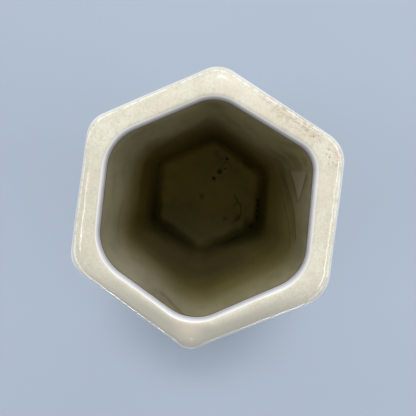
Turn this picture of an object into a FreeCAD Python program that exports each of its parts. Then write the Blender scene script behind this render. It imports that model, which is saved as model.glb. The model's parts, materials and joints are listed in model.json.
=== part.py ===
"""Jacketed hexagonal rock tumbler barrel, standing mouth up with its lid off.

A glazed liner with a thick flanged rim hangs in a folded sheet-metal jacket. Rubber pads keep
the two apart. Two round rings with rubber tyres let the six-sided barrel roll on shafts, and
a low-friction disc in the middle of the base takes the end thrust.

Frame: millimetres, +Z up along the barrel's axis, origin at the middle of the base on the
plane that the feet stand on. The flats face +X and every 60 degrees from it, so two of the
six corners lie on the Y axis.
"""
import FreeCAD
import Part
import math
import os
import Sketcher

doc = FreeCAD.newDocument("tumbler_barrel")

# ---------------------------------------------------------------------------------------------
# Driving dimensions, in millimetres. "flats" is a width across flats, "corner" is the radius of
# the upright corners.
# ---------------------------------------------------------------------------------------------
SIZES = {
    # liner
    "rim_flats": 152.0,
    "rim_corner": 17.0,
    "rim_height": 14.0,
    "rim_round": 5.0,
    "rim_under_round": 2.0,
    "mouth_flats": 121.0,
    "mouth_corner": 28.0,
    "lip_round": 2.4,
    "cavity_depth": 185.0,
    "cavity_floor_flats": 105.0,
    "cavity_floor_corner": 14.0,
    "cavity_floor_round": 8.0,
    "floor_thick": 13.0,
    "neck_flats": 139.0,
    "neck_corner": 15.0,
    "heel_round": 6.0,
    "foot_recess_radius": 40.0,
    "foot_recess_depth": 2.5,
    # sheet-metal jacket, its seam and its base cap
    "jacket_flats": 146.4,
    "jacket_thick": 1.2,
    "jacket_fold": 12.0,
    "seam_gap": 0.8,
    "strap_width": 24.0,
    "strap_thick": 1.2,
    "strap_margin": 2.0,
    "cap_thick": 1.5,
    "cap_height": 16.0,
    "cap_edge_round": 1.4,
    # rubber between liner and jacket, and under the barrel
    "gasket_wall": 1.5,
    "gasket_web": 2.0,
    "gasket_height": 6.0,
    "base_pad_flats": 100.0,
    "base_pad_corner": 5.0,
    "base_pad_thick": 3.0,
    "base_pad_hole": 15.0,
    "lift_gap": 0.5,
    "side_pad_thick": 2.2,
    "side_pad_width": 60.0,
    "side_pad_window": 32.0,
    "side_pad_border": 10.0,
    "side_pad_foot": 32.0,
    "side_pad_height": 132.0,
    "foot_height": 4.0,
    "foot_radius": 9.0,
    "foot_circle": 66.0,
    "foot_counterbore": 4.0,
    "foot_floor": 1.6,
    # rolling rings, tyres and clips
    "low_ring": 38.0,
    "high_ring": 138.0,
    "web_thick": 3.0,
    "hoop_width": 14.0,
    "hoop_bore": 84.0,
    "tyre_seat": 86.0,
    "hoop_edge": 88.0,
    "hoop_wall": 1.5,
    "tyre_radius": 90.0,
    "tyre_tread": 6.0,
    "tyre_shoulder": 2.5,
    "clip_width": 24.0,
    "clip_thick": 2.0,
    "clip_rise": 12.0,
    "clip_reach": 9.0,
    # rivets
    "rivet_shank": 1.6,
    "rivet_head": 3.2,
    "rivet_crown": 1.8,
    "rivet_tail": 2.4,
    "rivet_tail_thick": 0.9,
    "rivet_spacing": 14.0,
    "clip_rivet_rise": 8.0,
    "clip_rivet_reach": 5.2,
    "seam_rivet_low": 28.0,
    "seam_rivet_run": 140.0,
    "seam_rivet_rows": 8,
    "cap_rivet_height": 13.0,
    "cap_rivet_spacing": 50.0,
    # end-thrust disc and its fastening
    "thrust_radius": 20.0,
    "thrust_thick": 3.5,
    "thrust_edge": 1.0,
    "thrust_counterbore": 6.2,
    "thrust_floor": 1.2,
    "screw_radius": 2.5,
    "screw_head": 4.75,
    "screw_head_thick": 1.8,
    "washer_radius": 5.0,
    "washer_thick": 1.0,
    "drive_flats": 3.0,
    "drive_depth": 1.2,
    "nut_flats": 8.0,
    "nut_thick": 2.7,
    # how far a cut runs on past the wall that it goes through
    "overcut": 5.0,
}

sheet = doc.addObject("Spreadsheet::Sheet", "sizes")
for row, (alias, value) in enumerate(SIZES.items(), start=1):
    sheet.set(f"A{row}", alias)
    sheet.set(f"B{row}", str(value))
    sheet.setAlias(f"B{row}", alias)
doc.recompute()

# Heights and widths that follow from the driving dimensions, as expressions over the sheet.
CAP_TOP = "(sizes.foot_height + sizes.cap_thick)"
LINER_FOOT = f"({CAP_TOP} + sizes.base_pad_thick + sizes.lift_gap)"
CAVITY_FLOOR = f"({LINER_FOOT} + sizes.floor_thick)"
RIM_TOP = f"({CAVITY_FLOOR} + sizes.cavity_depth)"
FLANGE_FOOT = f"({RIM_TOP} - sizes.rim_height)"
GASKET_FOOT = f"({FLANGE_FOOT} - sizes.gasket_height)"
JACKET_TOP = f"({FLANGE_FOOT} - sizes.gasket_web)"
JACKET_BORE = "(sizes.jacket_flats - 2 * sizes.jacket_thick)"
BORE_FOLD = "(sizes.jacket_fold - sizes.jacket_thick)"
JACKET_FACE = "(sizes.jacket_flats / 2)"
BORE_FACE = "(sizes.jacket_flats / 2 - sizes.jacket_thick)"
STRAP_FACE = f"({JACKET_FACE} + sizes.strap_thick)"
CAP_FACE = f"({JACKET_FACE} + sizes.cap_thick)"
CLIP_FACE = f"({JACKET_FACE} + sizes.clip_thick)"
STRAP_FOOT = "(sizes.foot_height + sizes.cap_height + sizes.strap_margin)"
STRAP_TOP = f"({GASKET_FOOT} - sizes.strap_margin)"
DOME_RADIUS = "((sizes.rivet_head^2 + sizes.rivet_crown^2) / (2 * sizes.rivet_crown))"

SIDES = 6
TINY = 1e-6
LEVEL_TOLERANCE = 1e-3
FAR_OUT = "1000"
bodies = []


# ---------------------------------------------------------------------------------------------
# Building helpers
# ---------------------------------------------------------------------------------------------
def size(expression):
    """Present value of an expression over the sheet."""
    return float(sheet.evalExpression(expression))


def negative(expression):
    return f"-({expression})"


def new_body(label):
    """A body of its own, which may hold several equal pieces such as a set of rivets."""
    body = doc.addObject("PartDesign::Body", label)
    body.Label = label
    body.AllowCompound = True
    bodies.append(body)
    return body


def origin_item(body, role):
    return next(item for item in body.Origin.OriginFeatures if item.Role == role)


def new_sketch(body, name, role, shift=("0", "0", "0")):
    """A sketch on one of the body's own origin planes, moved in the sketch's own axes."""
    sketch = body.newObject("Sketcher::SketchObject", f"{body.Name}_{name}")
    sketch.AttachmentSupport = (origin_item(body, role), [""])
    sketch.MapMode = "FlatFace"
    for axis, expression in zip("xyz", shift):
        sketch.setExpression(f"AttachmentOffset.Base.{axis}", expression)
    return sketch


def bind(sketch, constraint, expression):
    sketch.setExpression(f"Constraints[{sketch.addConstraint(constraint)}]", expression)


def pin_point(sketch, edge, end, point):
    """Fix one end of an edge at an (x, y) pair of expressions."""
    for kind, expression in zip(("DistanceX", "DistanceY"), point):
        value = size(expression)
        bind(sketch, Sketcher.Constraint(kind, -1, 1, edge, end, value), expression)


def arc_between(start, end, radius):
    """Arc that bulges to the right of the way from start to end."""
    chord = end - start
    middle = (start + end) * 0.5
    right = FreeCAD.Vector(chord.y, -chord.x, 0).normalize()
    back = (radius**2 - (chord.Length / 2) ** 2) ** 0.5
    return Part.Arc(start, middle + right * (radius - back), end)


def outline(sketch, points, arcs=None):
    """Closed outline through (x, y) pairs of expressions, anticlockwise.

    arcs gives the radius of each edge that is round, by the number of the point it starts at.
    """
    arcs = arcs or {}
    spots = [FreeCAD.Vector(size(x), size(y), 0) for x, y in points]
    ends = []
    for number, start in enumerate(spots):
        end = spots[(number + 1) % len(spots)]
        if number in arcs:
            edge = sketch.addGeometry(arc_between(start, end, size(arcs[number])))
        else:
            edge = sketch.addGeometry(Part.LineSegment(start, end))
        first = 1 if sketch.getPoint(edge, 1).distanceToPoint(start) < TINY else 2
        ends.append((edge, first))
    for number, (edge, first) in enumerate(ends):
        pin_point(sketch, edge, first, points[number])
        follower, start_end = ends[(number + 1) % len(ends)]
        sketch.addConstraint(Sketcher.Constraint("Coincident", edge, 3 - first, follower, start_end))
        if number in arcs:
            radius = size(arcs[number])
            bind(sketch, Sketcher.Constraint("Radius", edge, radius), arcs[number])


def rectangle(sketch, left, low, right, high):
    outline(sketch, [(left, low), (right, low), (right, high), (left, high)])


def hexagon(sketch, flats, corner="0"):
    """Hexagon of the given width across flats, with round corners of the given radius."""
    reach = f"({flats} / 2)"
    half_flat = f"(({reach} - {corner}) * tan(30))"
    rounded = size(corner) > TINY
    points = []
    for side in range(SIDES):
        turn = f"{360 // SIDES * side}"
        for sign in ("-", "+") if rounded else ("+",):
            along_x = f"{reach} * cos({turn}) - ({sign}{half_flat}) * sin({turn})"
            along_y = f"{reach} * sin({turn}) + ({sign}{half_flat}) * cos({turn})"
            points.append((along_x, along_y))
    arcs = {number: corner for number in range(1, len(points), 2)} if rounded else None
    outline(sketch, points, arcs)


def circle(sketch, centre, radius):
    spot = FreeCAD.Vector(size(centre[0]), size(centre[1]), 0)
    edge = sketch.addGeometry(Part.Circle(spot, FreeCAD.Vector(0, 0, 1), size(radius)))
    pin_point(sketch, edge, 3, centre)
    bind(sketch, Sketcher.Constraint("Radius", edge, size(radius)), radius)


def pad(body, name, sketch, length, both_ways=False):
    feature = body.newObject("PartDesign::Pad", f"{body.Name}_{name}")
    feature.Profile = sketch
    feature.Midplane = both_ways
    feature.setExpression("Length", length)
    doc.recompute()
    return feature


def pocket(body, name, sketch, length, along_normal=False, both_ways=False):
    """Cut along the sketch's normal or against it; a cut that removes nothing is an error."""
    before = body.Shape.Volume
    feature = body.newObject("PartDesign::Pocket", f"{body.Name}_{name}")
    feature.Profile = sketch
    feature.Midplane = both_ways
    feature.Reversed = along_normal
    feature.setExpression("Length", length)
    doc.recompute()
    if body.Shape.Volume > before - TINY:
        raise RuntimeError(f"{feature.Name} removed nothing")
    return feature


def revolve(body, name, sketch, axis):
    feature = body.newObject("PartDesign::Revolution", f"{body.Name}_{name}")
    feature.Profile = sketch
    feature.ReferenceAxis = (sketch, [axis])
    feature.Angle = 360
    doc.recompute()
    return feature


def round_edges(body, name, wanted, radius):
    """Round the edges of the body's shape for which wanted(edge) is true."""
    base = body.Tip
    numbered = enumerate(base.Shape.Edges, start=1)
    names = [f"Edge{number}" for number, edge in numbered if wanted(edge)]
    if not names:
        raise RuntimeError(f"{body.Name}_{name} found no edges")
    feature = body.newObject("PartDesign::Fillet", f"{body.Name}_{name}")
    feature.Base = (base, names)
    feature.setExpression("Radius", radius)
    doc.recompute()
    return feature


def hexagonal_reach(point):
    """Half the width across flats of the hexagon that the point lies on."""
    turns = [math.radians(360 / SIDES * side) for side in range(SIDES)]
    return max(point.x * math.cos(turn) + point.y * math.sin(turn) for turn in turns)


def level_edge(height, inner="0", outer=FAR_OUT):
    """Test for edges at one height whose middle reaches out between two expressions."""
    low, high, level = size(inner), size(outer), size(height)

    def wanted(edge):
        box = edge.BoundBox
        middle = edge.valueAt((edge.FirstParameter + edge.LastParameter) / 2)
        flat = abs(box.ZMin - level) < LEVEL_TOLERANCE and abs(box.ZMax - level) < LEVEL_TOLERANCE
        return flat and low <= hexagonal_reach(middle) <= high

    return wanted


def polar(body, name, originals, count):
    """Repeat features evenly round the barrel's axis."""
    feature = body.newObject("PartDesign::PolarPattern", f"{body.Name}_{name}")
    feature.Originals = originals
    feature.Axis = (origin_item(body, "Z_Axis"), [""])
    feature.Angle = 360
    feature.Occurrences = count
    body.Tip = feature
    doc.recompute()
    return feature


def upward_row(body, name, originals, length, count):
    """Repeat features at an even pitch up the barrel."""
    feature = body.newObject("PartDesign::LinearPattern", f"{body.Name}_{name}")
    feature.Originals = originals
    feature.Direction = (origin_item(body, "Z_Axis"), [""])
    feature.setExpression("Length", length)
    feature.setExpression("Occurrences", count)
    body.Tip = feature
    doc.recompute()
    return feature


def pair_offsets(spacing):
    return {"right": f"({spacing} / 2)", "left": negative(f"{spacing} / 2")}


def radial_rivet(body, name, face, height, offset, way="+"):
    """One rivet through the jacket: domed head on face, flat tail inside. way is +X or -X."""
    sketch = new_sketch(body, f"{name}_profile", "XZ_Plane", ("0", height, negative(offset)))
    inside = f"({BORE_FACE} - sizes.rivet_tail_thick)"
    points = [
        (inside, "0"),
        (f"{face} + sizes.rivet_crown", "0"),
        (face, "sizes.rivet_head"),
        (face, "sizes.rivet_shank"),
        (BORE_FACE, "sizes.rivet_shank"),
        (BORE_FACE, "sizes.rivet_tail"),
        (inside, "sizes.rivet_tail"),
    ]
    arcs = {1: DOME_RADIUS}
    if way == "-":
        points = [(negative(x), y) for x, y in reversed(points)]
        arcs = {4: DOME_RADIUS}
    outline(sketch, points, arcs)
    return revolve(body, name, sketch, "H_Axis")


def upright_rivet(body, name, place, head, tail):
    """One upright rivet: domed head at height head, flat tail beyond height tail."""
    sketch = new_sketch(body, f"{name}_profile", "XZ_Plane", (place[0], "0", negative(place[1])))
    up = size(head) > size(tail)
    sign = "+" if up else "-"
    points = [
        ("0", f"{tail} {'-' if up else '+'} sizes.rivet_tail_thick"),
        ("sizes.rivet_tail", f"{tail} {'-' if up else '+'} sizes.rivet_tail_thick"),
        ("sizes.rivet_tail", tail),
        ("sizes.rivet_shank", tail),
        ("sizes.rivet_shank", head),
        ("sizes.rivet_head", head),
        ("0", f"{head} {sign} sizes.rivet_crown"),
    ]
    arcs = {5: DOME_RADIUS}
    if not up:
        points = list(reversed(points))
        arcs = {0: DOME_RADIUS}
    outline(sketch, points, arcs)
    return revolve(body, name, sketch, "V_Axis")


def radial_hole(body, name, height, offset, way="+"):
    """One rivet hole drilled outwards through the wall at +X or -X."""
    start = f"({BORE_FACE} - sizes.overcut)"
    shift = start if way == "+" else negative(start)
    sketch = new_sketch(body, f"{name}_ring", "YZ_Plane", ("0", "0", shift))
    circle(sketch, (offset, height), "sizes.rivet_shank")
    return pocket(body, name, sketch, "3 * sizes.overcut", along_normal=way == "+")


# ---------------------------------------------------------------------------------------------
# Glazed liner
# ---------------------------------------------------------------------------------------------
def build_liner():
    """Six-sided pot with a thick flanged rim; its cavity narrows towards the floor."""
    body = new_body("liner")
    neck = new_sketch(body, "neck_outline", "XY_Plane", ("0", "0", LINER_FOOT))
    hexagon(neck, "sizes.neck_flats", "sizes.neck_corner")
    pad(body, "neck", neck, f"{FLANGE_FOOT} - {LINER_FOOT}")
    flange = new_sketch(body, "flange_outline", "XY_Plane", ("0", "0", FLANGE_FOOT))
    hexagon(flange, "sizes.rim_flats", "sizes.rim_corner")
    pad(body, "flange", flange, "sizes.rim_height")
    mouth = new_sketch(body, "mouth_outline", "XY_Plane", ("0", "0", RIM_TOP))
    hexagon(mouth, "sizes.mouth_flats", "sizes.mouth_corner")
    floor = new_sketch(body, "floor_outline", "XY_Plane", ("0", "0", CAVITY_FLOOR))
    hexagon(floor, "sizes.cavity_floor_flats", "sizes.cavity_floor_corner")
    cavity = body.newObject("PartDesign::SubtractiveLoft", "liner_cavity")
    cavity.Profile = mouth
    cavity.Sections = [floor]
    cavity.Ruled = True
    doc.recompute()
    recess = new_sketch(body, "recess_outline", "XY_Plane", ("0", "0", LINER_FOOT))
    circle(recess, ("0", "0"), "sizes.foot_recess_radius")
    pocket(body, "foot_recess", recess, "sizes.foot_recess_depth", along_normal=True)

    mid_rim = "(sizes.mouth_flats + sizes.rim_flats) / 4"
    mid_flange = "(sizes.neck_flats + sizes.rim_flats) / 4"
    round_edges(body, "rim_edge", level_edge(RIM_TOP, mid_rim), "sizes.rim_round")
    round_edges(body, "lip", level_edge(RIM_TOP, "0", mid_rim), "sizes.lip_round")
    under = level_edge(FLANGE_FOOT, mid_flange)
    round_edges(body, "rim_under_edge", under, "sizes.rim_under_round")
    heel = level_edge(LINER_FOOT, "(sizes.foot_recess_radius + sizes.neck_flats / 2) / 2")
    round_edges(body, "heel", heel, "sizes.heel_round")
    round_edges(body, "floor_corner", level_edge(CAVITY_FLOOR), "sizes.cavity_floor_round")


# ---------------------------------------------------------------------------------------------
# Jacket, seam and base cap
# ---------------------------------------------------------------------------------------------
def build_jacket():
    """Folded hexagonal tube, open at both ends, with a butt seam down its -X flat."""
    body = new_body("jacket")
    outer = new_sketch(body, "outer_outline", "XY_Plane", ("0", "0", CAP_TOP))
    hexagon(outer, "sizes.jacket_flats", "sizes.jacket_fold")
    pad(body, "tube", outer, f"{JACKET_TOP} - {CAP_TOP}")
    inner = new_sketch(body, "inner_outline", "XY_Plane", ("0", "0", CAP_TOP))
    hexagon(inner, JACKET_BORE, BORE_FOLD)
    pocket(body, "bore", inner, f"{JACKET_TOP} - {CAP_TOP}", along_normal=True)
    seam = new_sketch(body, "seam_outline", "XY_Plane", ("0", "0", CAP_TOP))
    half_gap = "(sizes.seam_gap / 2)"
    left = negative(f"{JACKET_FACE} + sizes.overcut")
    right = negative(f"{BORE_FACE} - sizes.overcut")
    rectangle(seam, left, negative(half_gap), right, half_gap)
    pocket(body, "seam", seam, f"{JACKET_TOP} - {CAP_TOP}", along_normal=True)
    drill_seam(body)
    drill_cap_rivets(body)
    clip_heights = {
        "low": "sizes.low_ring + sizes.web_thick / 2 + sizes.clip_rivet_rise",
        "high": "sizes.high_ring - sizes.web_thick / 2 - sizes.clip_rivet_rise",
    }
    holes = []
    for ring, height in clip_heights.items():
        for side, offset in pair_offsets("sizes.rivet_spacing").items():
            holes.append(radial_hole(body, f"{ring}_clip_hole_{side}", height, offset))
    polar(body, "clip_holes", holes, SIDES // 2)


def drill_seam(body):
    holes = []
    for side, offset in pair_offsets("sizes.rivet_spacing").items():
        holes.append(radial_hole(body, f"seam_hole_{side}", "sizes.seam_rivet_low", offset, "-"))
    upward_row(body, "seam_holes", holes, "sizes.seam_rivet_run", "sizes.seam_rivet_rows")


def drill_cap_rivets(body):
    holes = []
    for side, offset in pair_offsets("sizes.cap_rivet_spacing").items():
        holes.append(radial_hole(body, f"cap_hole_{side}", "sizes.cap_rivet_height", offset))
    polar(body, "cap_holes", holes, SIDES)


def build_seam_strap():
    """Flat strip over the seam, outside."""
    body = new_body("seam_strap")
    sketch = new_sketch(body, "section", "XY_Plane", ("0", "0", STRAP_FOOT))
    half = "(sizes.strap_width / 2)"
    rectangle(sketch, negative(STRAP_FACE), negative(half), negative(JACKET_FACE), half)
    pad(body, "strip", sketch, f"{STRAP_TOP} - {STRAP_FOOT}")
    drill_seam(body)


def build_seam_rivets():
    body = new_body("seam_rivets")
    rivets = []
    for side, offset in pair_offsets("sizes.rivet_spacing").items():
        height = "sizes.seam_rivet_low"
        rivets.append(radial_rivet(body, f"rivet_{side}", STRAP_FACE, height, offset, "-"))
    upward_row(body, "rows", rivets, "sizes.seam_rivet_run", "sizes.seam_rivet_rows")


def build_base_cap():
    """Hexagonal pan that fits over the jacket's lower end."""
    body = new_body("base_cap")
    outer = new_sketch(body, "outer_outline", "XY_Plane", ("0", "0", "sizes.foot_height"))
    hexagon(outer, f"(2 * {CAP_FACE})", "(sizes.jacket_fold + sizes.cap_thick)")
    pad(body, "pan", outer, "sizes.cap_height")
    inner = new_sketch(body, "inner_outline", "XY_Plane", ("0", "0", CAP_TOP))
    hexagon(inner, "sizes.jacket_flats", "sizes.jacket_fold")
    pocket(body, "inside", inner, "sizes.cap_height", along_normal=True)
    drill_cap_rivets(body)
    holes = new_sketch(body, "screw_hole", "XY_Plane", ("0", "0", CAP_TOP))
    circle(holes, ("0", "0"), "sizes.screw_radius")
    pocket(body, "screw_hole_cut", holes, "sizes.cap_thick")
    foot = new_sketch(body, "foot_hole", "XY_Plane", ("0", "0", CAP_TOP))
    circle(foot, ("0", "sizes.foot_circle"), "sizes.rivet_shank")
    polar(body, "foot_holes", [pocket(body, "foot_hole_cut", foot, "sizes.cap_thick")], SIDES)
    rim = level_edge("sizes.foot_height", f"(sizes.foot_circle + {CAP_FACE}) / 2")
    round_edges(body, "edge", rim, "sizes.cap_edge_round")


def build_cap_rivets():
    body = new_body("cap_rivets")
    rivets = []
    for side, offset in pair_offsets("sizes.cap_rivet_spacing").items():
        height = "sizes.cap_rivet_height"
        rivets.append(radial_rivet(body, f"rivet_{side}", CAP_FACE, height, offset))
    polar(body, "round", rivets, SIDES)


# ---------------------------------------------------------------------------------------------
# Rubber parts
# ---------------------------------------------------------------------------------------------
def build_rim_gasket():
    """Channel strip pushed over the jacket's top edge; the liner's flange sits on it."""
    body = new_body("rim_gasket")
    outer = new_sketch(body, "outer_outline", "XY_Plane", ("0", "0", GASKET_FOOT))
    wall = "sizes.gasket_wall"
    hexagon(outer, f"(sizes.jacket_flats + 2 * {wall})", f"(sizes.jacket_fold + {wall})")
    pad(body, "strip", outer, "sizes.gasket_height")
    inner = new_sketch(body, "inner_outline", "XY_Plane", ("0", "0", GASKET_FOOT))
    hexagon(inner, f"({JACKET_BORE} - 2 * {wall})", f"({BORE_FOLD} - {wall})")
    pocket(body, "inside", inner, "sizes.gasket_height", along_normal=True)
    slot = new_sketch(body, "slot_outline", "XY_Plane", ("0", "0", GASKET_FOOT))
    hexagon(slot, "sizes.jacket_flats", "sizes.jacket_fold")
    hexagon(slot, JACKET_BORE, BORE_FOLD)
    depth = "sizes.gasket_height - sizes.gasket_web"
    pocket(body, "slot", slot, depth, along_normal=True)


def build_base_pad():
    """Hexagonal pad on the base cap, with a hole round the thrust disc's nut."""
    body = new_body("base_pad")
    sketch = new_sketch(body, "outline", "XY_Plane", ("0", "0", CAP_TOP))
    hexagon(sketch, "sizes.base_pad_flats", "sizes.base_pad_corner")
    circle(sketch, ("0", "0"), "sizes.base_pad_hole")
    pad(body, "sheet", sketch, "sizes.base_pad_thick")


def build_side_pad(number):
    """Frame-shaped pad on one inner flat; rivet tails stand in its window."""
    body = new_body(f"side_pad_{number}")
    face = f"({BORE_FACE} - sizes.side_pad_thick)"
    sketch = new_sketch(body, "outline", "YZ_Plane", ("0", "0", face))
    half = "(sizes.side_pad_width / 2)"
    foot = "sizes.side_pad_foot"
    top = f"({foot} + sizes.side_pad_height)"
    rectangle(sketch, negative(half), foot, half, top)
    half_window = "(sizes.side_pad_window / 2)"
    border = "sizes.side_pad_border"
    rectangle(sketch, negative(half_window), f"{foot} + {border}", half_window, f"{top} - {border}")
    pad(body, "sheet", sketch, "sizes.side_pad_thick")
    turn = FreeCAD.Rotation(FreeCAD.Vector(0, 0, 1), 360 / SIDES * (number - 1))
    body.Placement = FreeCAD.Placement(FreeCAD.Vector(0, 0, 0), turn)


def build_feet():
    """Six round feet under the base cap, one at each corner, and the rivets that hold them."""
    feet = new_body("foot_pads")
    sketch = new_sketch(feet, "outline", "XY_Plane")
    circle(sketch, ("0", "sizes.foot_circle"), "sizes.foot_radius")
    first = pad(feet, "foot", sketch, "sizes.foot_height")
    bore = new_sketch(feet, "bore_outline", "XY_Plane")
    circle(bore, ("0", "sizes.foot_circle"), "sizes.rivet_shank")
    through = pocket(feet, "bore", bore, "sizes.foot_height", along_normal=True)
    sink = new_sketch(feet, "sink_outline", "XY_Plane")
    circle(sink, ("0", "sizes.foot_circle"), "sizes.foot_counterbore")
    depth = "sizes.foot_height - sizes.foot_floor"
    sunk = pocket(feet, "counterbore", sink, depth, along_normal=True)
    polar(feet, "round", [first, through, sunk], SIDES)

    rivets = new_body("foot_rivets")
    head = "(sizes.foot_height - sizes.foot_floor)"
    one = upright_rivet(rivets, "rivet", ("0", "sizes.foot_circle"), head, CAP_TOP)
    polar(rivets, "round", [one], SIDES)


# ---------------------------------------------------------------------------------------------
# Rolling rings
# ---------------------------------------------------------------------------------------------
def build_ring(label, height):
    """Round ring with a hexagonal hole for the jacket and a channel rim for the tyre."""
    body = new_body(label)
    profile = new_sketch(body, "profile", "XZ_Plane", ("0", height, "0"))
    hole = f"({JACKET_FACE} - sizes.overcut)"
    half_web = "(sizes.web_thick / 2)"
    half_hoop = "(sizes.hoop_width / 2)"
    inner_wall = f"({half_hoop} - sizes.hoop_wall)"
    outer_half = [
        ("sizes.hoop_bore", half_web),
        ("sizes.hoop_bore", half_hoop),
        ("sizes.hoop_edge", half_hoop),
        ("sizes.hoop_edge", inner_wall),
        ("sizes.tyre_seat", inner_wall),
    ]
    lower_half = [(x, negative(z)) for x, z in outer_half]
    points = [(hole, negative(half_web))] + lower_half + outer_half[::-1] + [(hole, half_web)]
    outline(profile, points)
    revolve(body, "ring", profile, "V_Axis")
    opening = new_sketch(body, "opening_outline", "XY_Plane", ("0", "0", height))
    hexagon(opening, "sizes.jacket_flats", "sizes.jacket_fold")
    pocket(body, "opening", opening, "sizes.hoop_width * 2", both_ways=True)
    notch = new_sketch(body, "notch_outline", "XY_Plane", ("0", "0", height))
    half = "(sizes.strap_width / 2)"
    rectangle(notch, negative(STRAP_FACE), negative(half), negative(hole), half)
    pocket(body, "notch", notch, "sizes.hoop_width * 2", both_ways=True)
    holes = []
    for side, offset in pair_offsets("sizes.rivet_spacing").items():
        sketch = new_sketch(body, f"hole_outline_{side}", "XY_Plane", ("0", "0", height))
        circle(sketch, (f"{JACKET_FACE} + sizes.clip_rivet_reach", offset), "sizes.rivet_shank")
        holes.append(pocket(body, f"hole_{side}", sketch, "sizes.web_thick", both_ways=True))
    polar(body, "holes", holes, SIDES // 2)


def build_tyre(label, height):
    """Rubber tyre in the ring's channel, with a flat tread and round shoulders."""
    body = new_body(label)
    profile = new_sketch(body, "profile", "XZ_Plane", ("0", height, "0"))
    half = "(sizes.hoop_width / 2 - sizes.hoop_wall)"
    half_tread = "(sizes.tyre_tread / 2)"
    shoulder = f"(sizes.tyre_radius - ({half} - {half_tread}))"
    points = [
        ("sizes.tyre_seat", negative(half)),
        (shoulder, negative(half)),
        ("sizes.tyre_radius", negative(half_tread)),
        ("sizes.tyre_radius", half_tread),
        (shoulder, half),
        ("sizes.tyre_seat", half),
    ]
    radius = f"({half} - {half_tread})"
    outline(profile, points, {1: radius, 3: radius})
    revolve(body, "tyre", profile, "V_Axis")


def build_clips(label, height, way):
    """Three angle clips that tie a ring's web to the jacket; way is the side they stand on."""
    body = new_body(label)
    web = f"({height} {way} sizes.web_thick / 2)"
    profile = new_sketch(body, "profile", "XZ_Plane")
    points = [
        (JACKET_FACE, web),
        (f"{JACKET_FACE} + sizes.clip_reach", web),
        (f"{JACKET_FACE} + sizes.clip_reach", f"{web} {way} sizes.clip_thick"),
        (CLIP_FACE, f"{web} {way} sizes.clip_thick"),
        (CLIP_FACE, f"{web} {way} sizes.clip_rise"),
        (JACKET_FACE, f"{web} {way} sizes.clip_rise"),
    ]
    outline(profile, points if way == "+" else points[::-1])
    features = [pad(body, "angle", profile, "sizes.clip_width", both_ways=True)]
    rivet_height = f"{web} {way} sizes.clip_rivet_rise"
    for side, offset in pair_offsets("sizes.rivet_spacing").items():
        features.append(radial_hole(body, f"jacket_hole_{side}", rivet_height, offset))
        sketch = new_sketch(body, f"web_hole_outline_{side}", "XY_Plane", ("0", "0", web))
        circle(sketch, (f"{JACKET_FACE} + sizes.clip_rivet_reach", offset), "sizes.rivet_shank")
        upward = way == "+"
        features.append(pocket(body, f"web_hole_{side}", sketch, "sizes.clip_thick", upward))
    polar(body, "round", features, SIDES // 2)


def build_clip_rivets(label, height, way):
    """Rivets of one ring: clips to jacket, and clips to web."""
    jacket_rivets = new_body(f"{label}_clip_rivets")
    web_rivets = new_body(f"{label}_web_rivets")
    web = f"({height} {way} sizes.web_thick / 2)"
    back = "-" if way == "+" else "+"
    far_side = f"({height} {back} sizes.web_thick / 2)"
    clip_top = f"({web} {way} sizes.clip_thick)"
    radial = []
    upright = []
    for side, offset in pair_offsets("sizes.rivet_spacing").items():
        rivet_height = f"{web} {way} sizes.clip_rivet_rise"
        name = f"rivet_{side}"
        radial.append(radial_rivet(jacket_rivets, name, CLIP_FACE, rivet_height, offset))
        place = (f"{JACKET_FACE} + sizes.clip_rivet_reach", offset)
        upright.append(upright_rivet(web_rivets, name, place, clip_top, far_side))
    polar(jacket_rivets, "round", radial, SIDES // 2)
    polar(web_rivets, "round", upright, SIDES // 2)


# ---------------------------------------------------------------------------------------------
# End-thrust disc
# ---------------------------------------------------------------------------------------------
def build_thrust_disc():
    """Low-friction disc under the base cap, sunk for the screw's head."""
    body = new_body("thrust_disc")
    low = "(sizes.foot_height - sizes.thrust_thick)"
    sketch = new_sketch(body, "outline", "XY_Plane", ("0", "0", low))
    circle(sketch, ("0", "0"), "sizes.thrust_radius")
    circle(sketch, ("0", "0"), "sizes.screw_radius")
    pad(body, "disc", sketch, "sizes.thrust_thick")
    sink = new_sketch(body, "sink_outline", "XY_Plane", ("0", "0", low))
    circle(sink, ("0", "0"), "sizes.thrust_counterbore")
    depth = "sizes.thrust_thick - sizes.thrust_floor"
    pocket(body, "counterbore", sink, depth, along_normal=True)
    edge = level_edge(low, "(sizes.thrust_counterbore + sizes.thrust_radius) / 2")
    round_edges(body, "edge", edge, "sizes.thrust_edge")


def build_thrust_fasteners():
    """Screw from below, washer and thin nut on top of the base cap's plate."""
    screw = new_body("thrust_screw")
    seat = "(sizes.foot_height - sizes.thrust_floor)"
    low = f"({seat} - sizes.screw_head_thick)"
    head = new_sketch(screw, "head_outline", "XY_Plane", ("0", "0", low))
    circle(head, ("0", "0"), "sizes.screw_head")
    pad(screw, "head", head, "sizes.screw_head_thick")
    shank = new_sketch(screw, "shank_outline", "XY_Plane", ("0", "0", seat))
    circle(shank, ("0", "0"), "sizes.screw_radius")
    grip = "sizes.thrust_floor + sizes.cap_thick + sizes.washer_thick + sizes.nut_thick"
    pad(screw, "shank", shank, grip)
    drive = new_sketch(screw, "drive_outline", "XY_Plane", ("0", "0", low))
    hexagon(drive, "sizes.drive_flats")
    pocket(screw, "drive", drive, "sizes.drive_depth", along_normal=True)

    washer = new_body("thrust_washer")
    ring = new_sketch(washer, "outline", "XY_Plane", ("0", "0", CAP_TOP))
    circle(ring, ("0", "0"), "sizes.washer_radius")
    circle(ring, ("0", "0"), "sizes.screw_radius")
    pad(washer, "ring", ring, "sizes.washer_thick")

    nut = new_body("thrust_nut")
    base = new_sketch(nut, "outline", "XY_Plane", ("0", "0", f"{CAP_TOP} + sizes.washer_thick"))
    hexagon(base, "sizes.nut_flats")
    circle(base, ("0", "0"), "sizes.screw_radius")
    pad(nut, "block", base, "sizes.nut_thick")


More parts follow.
